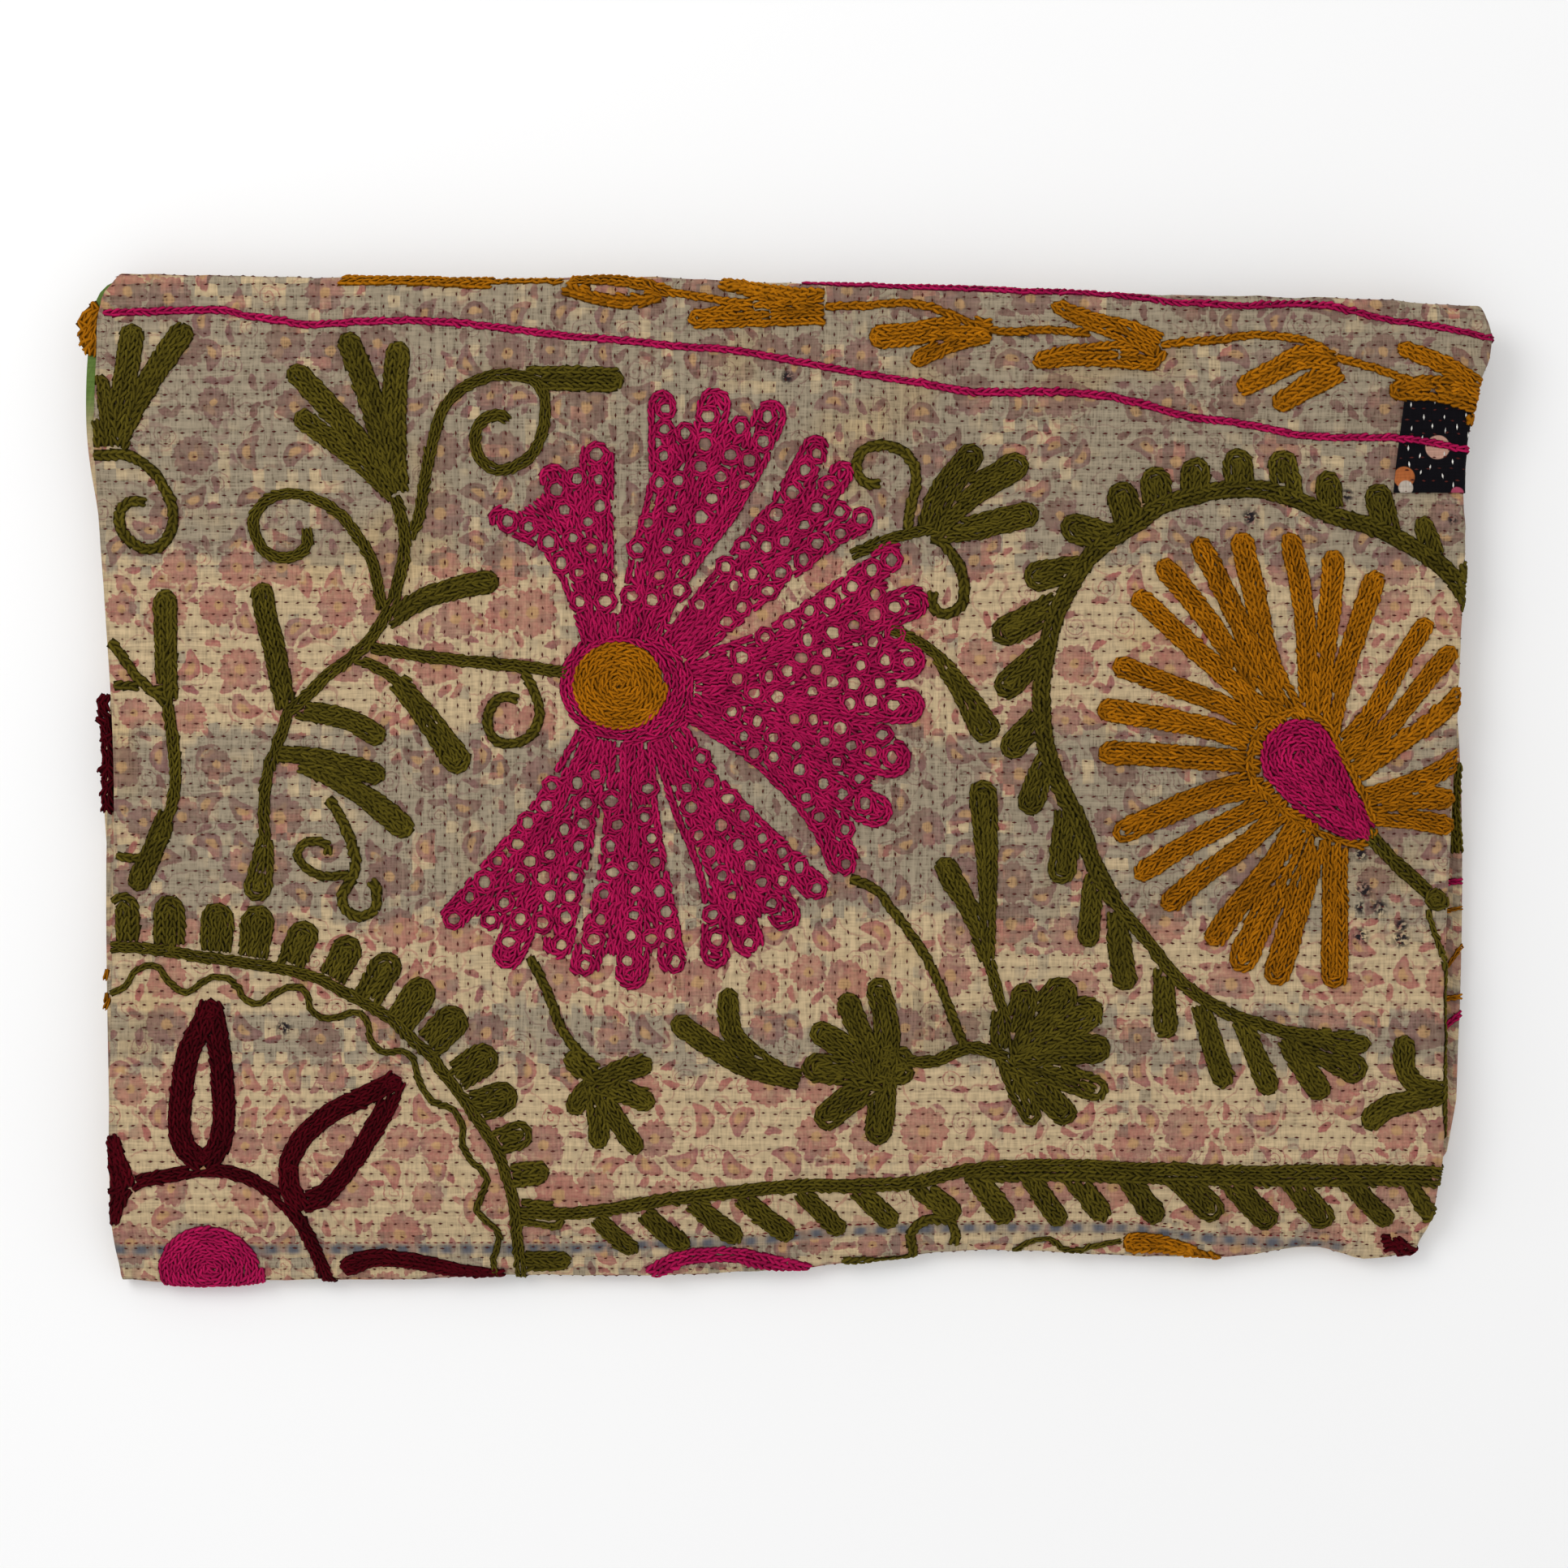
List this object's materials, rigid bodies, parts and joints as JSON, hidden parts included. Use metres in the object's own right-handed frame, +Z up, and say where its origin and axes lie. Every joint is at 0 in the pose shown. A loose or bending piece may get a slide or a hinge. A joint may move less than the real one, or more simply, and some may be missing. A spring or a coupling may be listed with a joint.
{
  "type": "folded suzani embroidered quilt",
  "caption": "Quilted throw of printed cotton with running stitches and wool chain-stitch flowers, leaves and vines, folded into a flat rectangular stack that rests on a surface.",
  "frame": {"origin": "centre of the folded stack's outline, on the surface it rests on", "axes": "+X along the stack's long side towards the long fold, +Y towards the side with the turned-under end, +Z up out of the top layer"},
  "size_m": [0.7088, 0.5114, 0.0321],
  "materials": {
    "printed_cotton": "matte quilted cotton, cream ground with a faded pink print",
    "patch_cotton": "matte printed cotton, nearly black"
  },
  "bodies": {
    "root": {"quilt": "printed_cotton", "patch": "patch_cotton"}
  },
  "joints": []
}
